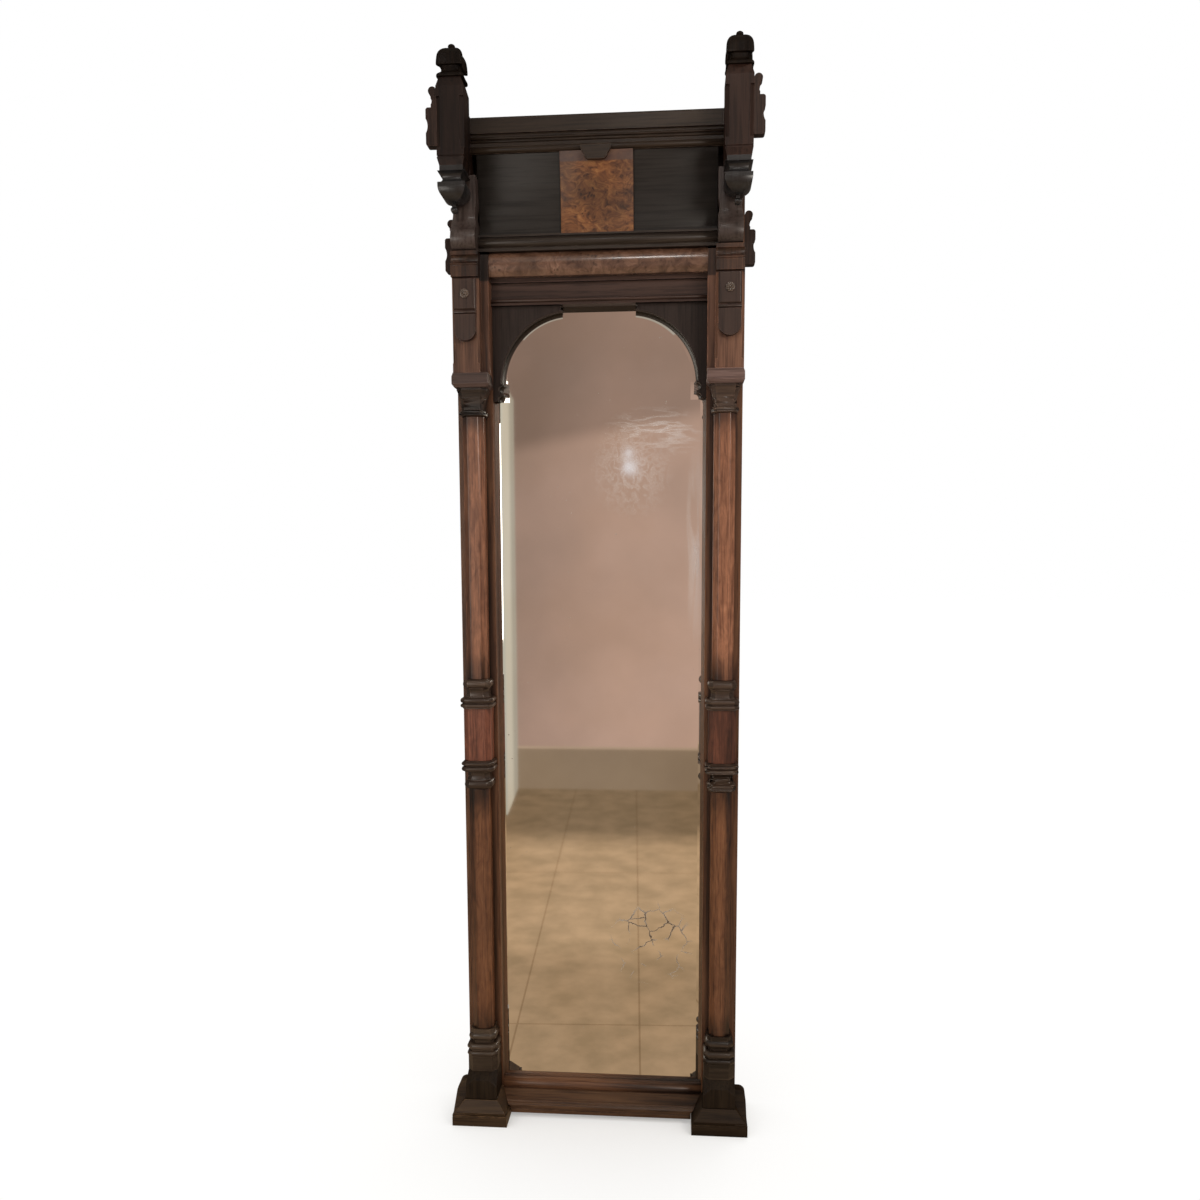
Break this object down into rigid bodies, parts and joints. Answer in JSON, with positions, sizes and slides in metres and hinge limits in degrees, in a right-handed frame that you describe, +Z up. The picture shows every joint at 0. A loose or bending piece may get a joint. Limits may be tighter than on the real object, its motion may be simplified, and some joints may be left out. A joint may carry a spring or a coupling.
{
  "type": "pier mirror",
  "caption": "Tall standing pier mirror: walnut frame with engaged eight-sided columns, consoles and posts, an arched bevelled glass and a coved head.",
  "frame": {"origin": "on the floor, on the centre line, half-way between the back of the mirror and the front of its posts", "axes": "+Z up, +Y towards the wall behind, -Y out of the front, X across the glass"},
  "size_m": [0.706, 0.18, 2.399],
  "materials": {
    "walnut_dark": "dark walnut, worn polish",
    "walnut_red": "red-brown walnut, polished",
    "burr_walnut": "burr walnut veneer, high polish",
    "mirror_glass": "silvered plate glass, bevelled",
    "pine": "bare pine, aged",
    "iron": "oxidised iron"
  },
  "bodies": {
    "root": {"left_foot": "walnut_dark", "right_foot": "walnut_dark", "left_plinth": "walnut_dark", "right_plinth": "walnut_dark", "left_column_base": "walnut_dark", "right_column_base": "walnut_dark", "left_lower_shaft": "walnut_red", "right_lower_shaft": "walnut_red", "left_lower_collar": "walnut_dark", "right_lower_collar": "walnut_dark", "left_waist": "walnut_red", "right_waist": "walnut_red", "left_upper_collar": "walnut_dark", "right_upper_collar": "walnut_dark", "left_upper_shaft": "walnut_red", "right_upper_shaft": "walnut_red", "left_capital": "walnut_dark", "right_capital": "walnut_dark", "left_abacus": "walnut_dark", "right_abacus": "walnut_dark", "left_pilaster": "walnut_dark", "right_pilaster": "walnut_dark", "left_tablet": "walnut_red", "right_tablet": "walnut_red", "left_teardrop": "walnut_red", "right_teardrop": "walnut_red", "left_console": "walnut_dark", "right_console": "walnut_dark", "left_post_drop": "walnut_dark", "right_post_drop": "walnut_dark", "left_post": "walnut_dark", "right_post": "walnut_dark", "left_finial": "walnut_dark", "right_finial": "walnut_dark", "left_upper_ear": "walnut_dark", "right_upper_ear": "walnut_dark", "left_lower_ear": "walnut_dark", "right_lower_ear": "walnut_dark", "left_stile": "walnut_dark", "right_stile": "walnut_dark", "bottom_rail": "walnut_dark", "base_moulding": "walnut_dark", "top_rail": "walnut_dark", "left_spandrel": "walnut_dark", "right_spandrel": "walnut_dark", "frieze_roll": "burr_walnut", "shelf_moulding": "walnut_dark", "cove_panel": "walnut_dark", "centre_tablet": "burr_walnut", "cornice": "walnut_dark", "cornice_drop": "walnut_dark", "mirror_glass": "mirror_glass", "lower_backboard": "pine", "middle_backboard": "pine", "upper_backboard": "pine", "glazing_blocks": "pine", "back_screws": "iron", "buttons": "walnut_red"}
  },
  "joints": []
}
